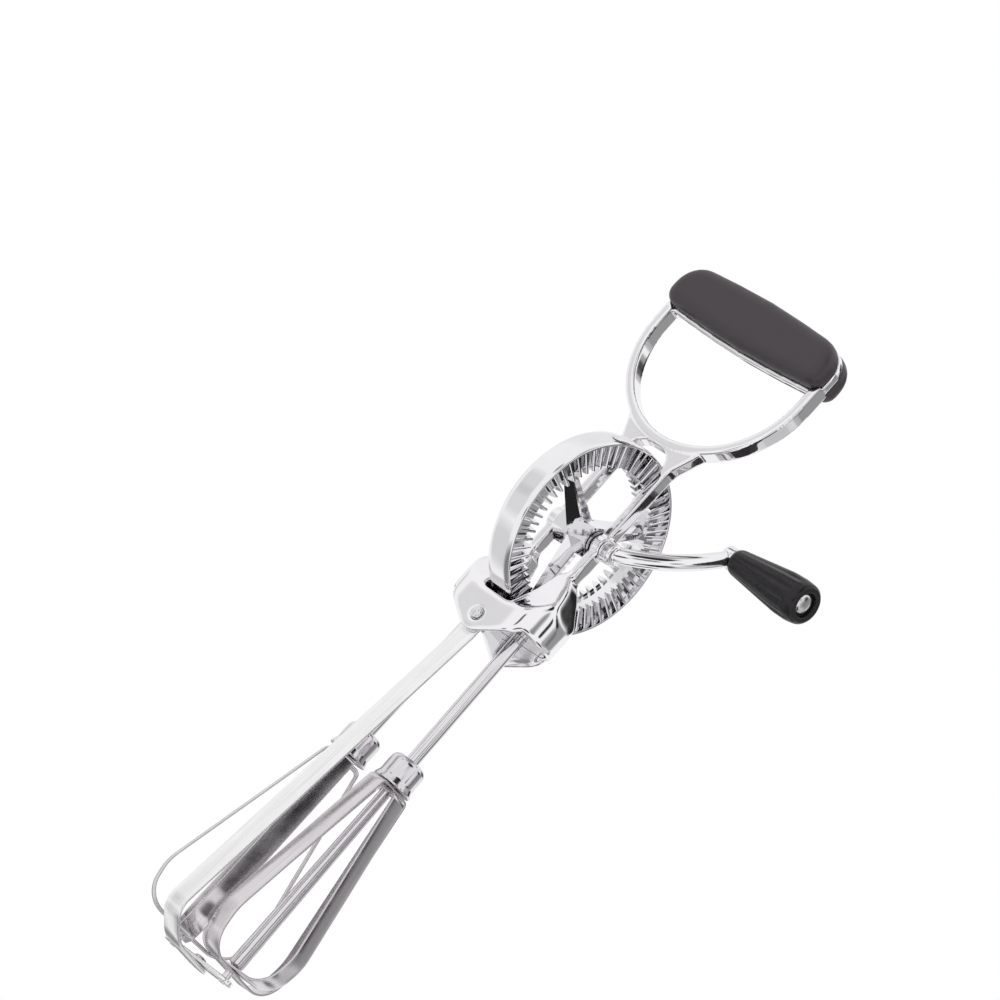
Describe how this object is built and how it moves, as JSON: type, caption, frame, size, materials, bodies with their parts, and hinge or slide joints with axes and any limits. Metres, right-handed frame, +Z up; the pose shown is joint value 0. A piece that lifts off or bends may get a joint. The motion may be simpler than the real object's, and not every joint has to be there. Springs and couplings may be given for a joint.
{
  "type": "rotary egg beater",
  "caption": "Hand-cranked rotary whisk: a toothed wheel on a D-handled frame turns two interleaved strip beaters in opposite directions.",
  "frame": {"origin": "centre of the foot's flat underside, midway between the two beaters", "axes": "+Z up from the foot to the grip, +Y along the wheel's axle towards the crank and its knob, +X towards the side with the strut"},
  "size_m": [0.0787, 0.1149, 0.3144],
  "materials": {
    "frame_chrome": "mirror-bright chrome plate over a die casting",
    "wheel_chrome": "bright chrome plate over a die casting",
    "crank_chrome": "mirror-bright chrome plate",
    "collar_chrome": "bright pressed cap",
    "strip_steel": "satin stainless strip, brushed along its length",
    "strut_steel": "bright stainless strip, brushed along its length",
    "shaft_steel": "drawn bright rod",
    "pinion_steel": "machined",
    "plain_steel": "plain",
    "washer_steel": "plain",
    "grip_plastic": "satin warm black",
    "knob_plastic": "satin black with shallow flutes"
  },
  "bodies": {
    "frame": {"frame_casting": "frame_chrome", "near_grip_shell": "grip_plastic", "far_grip_shell": "grip_plastic", "front_grip_pin": "plain_steel", "rear_grip_pin": "plain_steel", "guide_plate": "plain_steel", "side_strut": "strut_steel", "strut_rivet": "plain_steel", "foot_crossbar": "strut_steel", "foot_rivet": "plain_steel"},
    "drive": {"drive_wheel": "wheel_chrome", "wheel_axle": "plain_steel", "wheel_pin": "plain_steel", "front_axle_washer": "washer_steel", "rear_axle_washer": "washer_steel", "crank_arm": "crank_chrome", "crank_pin": "plain_steel", "knob_spindle": "plain_steel"},
    "knob": {"crank_knob": "knob_plastic"},
    "front_beater": {"front_pinion": "pinion_steel", "front_pinion_pin": "plain_steel", "front_shaft": "shaft_steel", "front_thrust_washer": "washer_steel", "front_collar": "collar_chrome", "front_outer_loop": "strip_steel", "front_inner_loop": "strip_steel"},
    "rear_beater": {"rear_pinion": "pinion_steel", "rear_pinion_pin": "plain_steel", "rear_shaft": "shaft_steel", "rear_thrust_washer": "washer_steel", "rear_collar": "collar_chrome", "rear_outer_loop": "strip_steel", "rear_inner_loop": "strip_steel"}
  },
  "joints": [
    {"name": "wheel_spin", "type": "hinge", "parent": "frame", "child": "drive", "pos_m": [0, 0, 0.206], "axis": [0, 1, 0], "continuous": true},
    {"name": "knob_spin", "type": "hinge", "parent": "drive", "child": "knob", "pos_m": [-0.03247, 0.0356, 0.23628], "axis": [0, 1, 0], "continuous": true},
    {"name": "front_beater_spin", "type": "hinge", "parent": "frame", "child": "front_beater", "pos_m": [0, 0.0111, 0.173], "axis": [0, -0.0201, 0.9998], "continuous": true},
    {"name": "rear_beater_spin", "type": "hinge", "parent": "frame", "child": "rear_beater", "pos_m": [0, -0.0111, 0.173], "axis": [0, 0.0201, 0.9998], "continuous": true}
  ],
  "couplings": [
    {"joint": "front_beater_spin", "follows": "wheel_spin", "ratio": -5},
    {"joint": "rear_beater_spin", "follows": "wheel_spin", "ratio": 5}
  ]
}
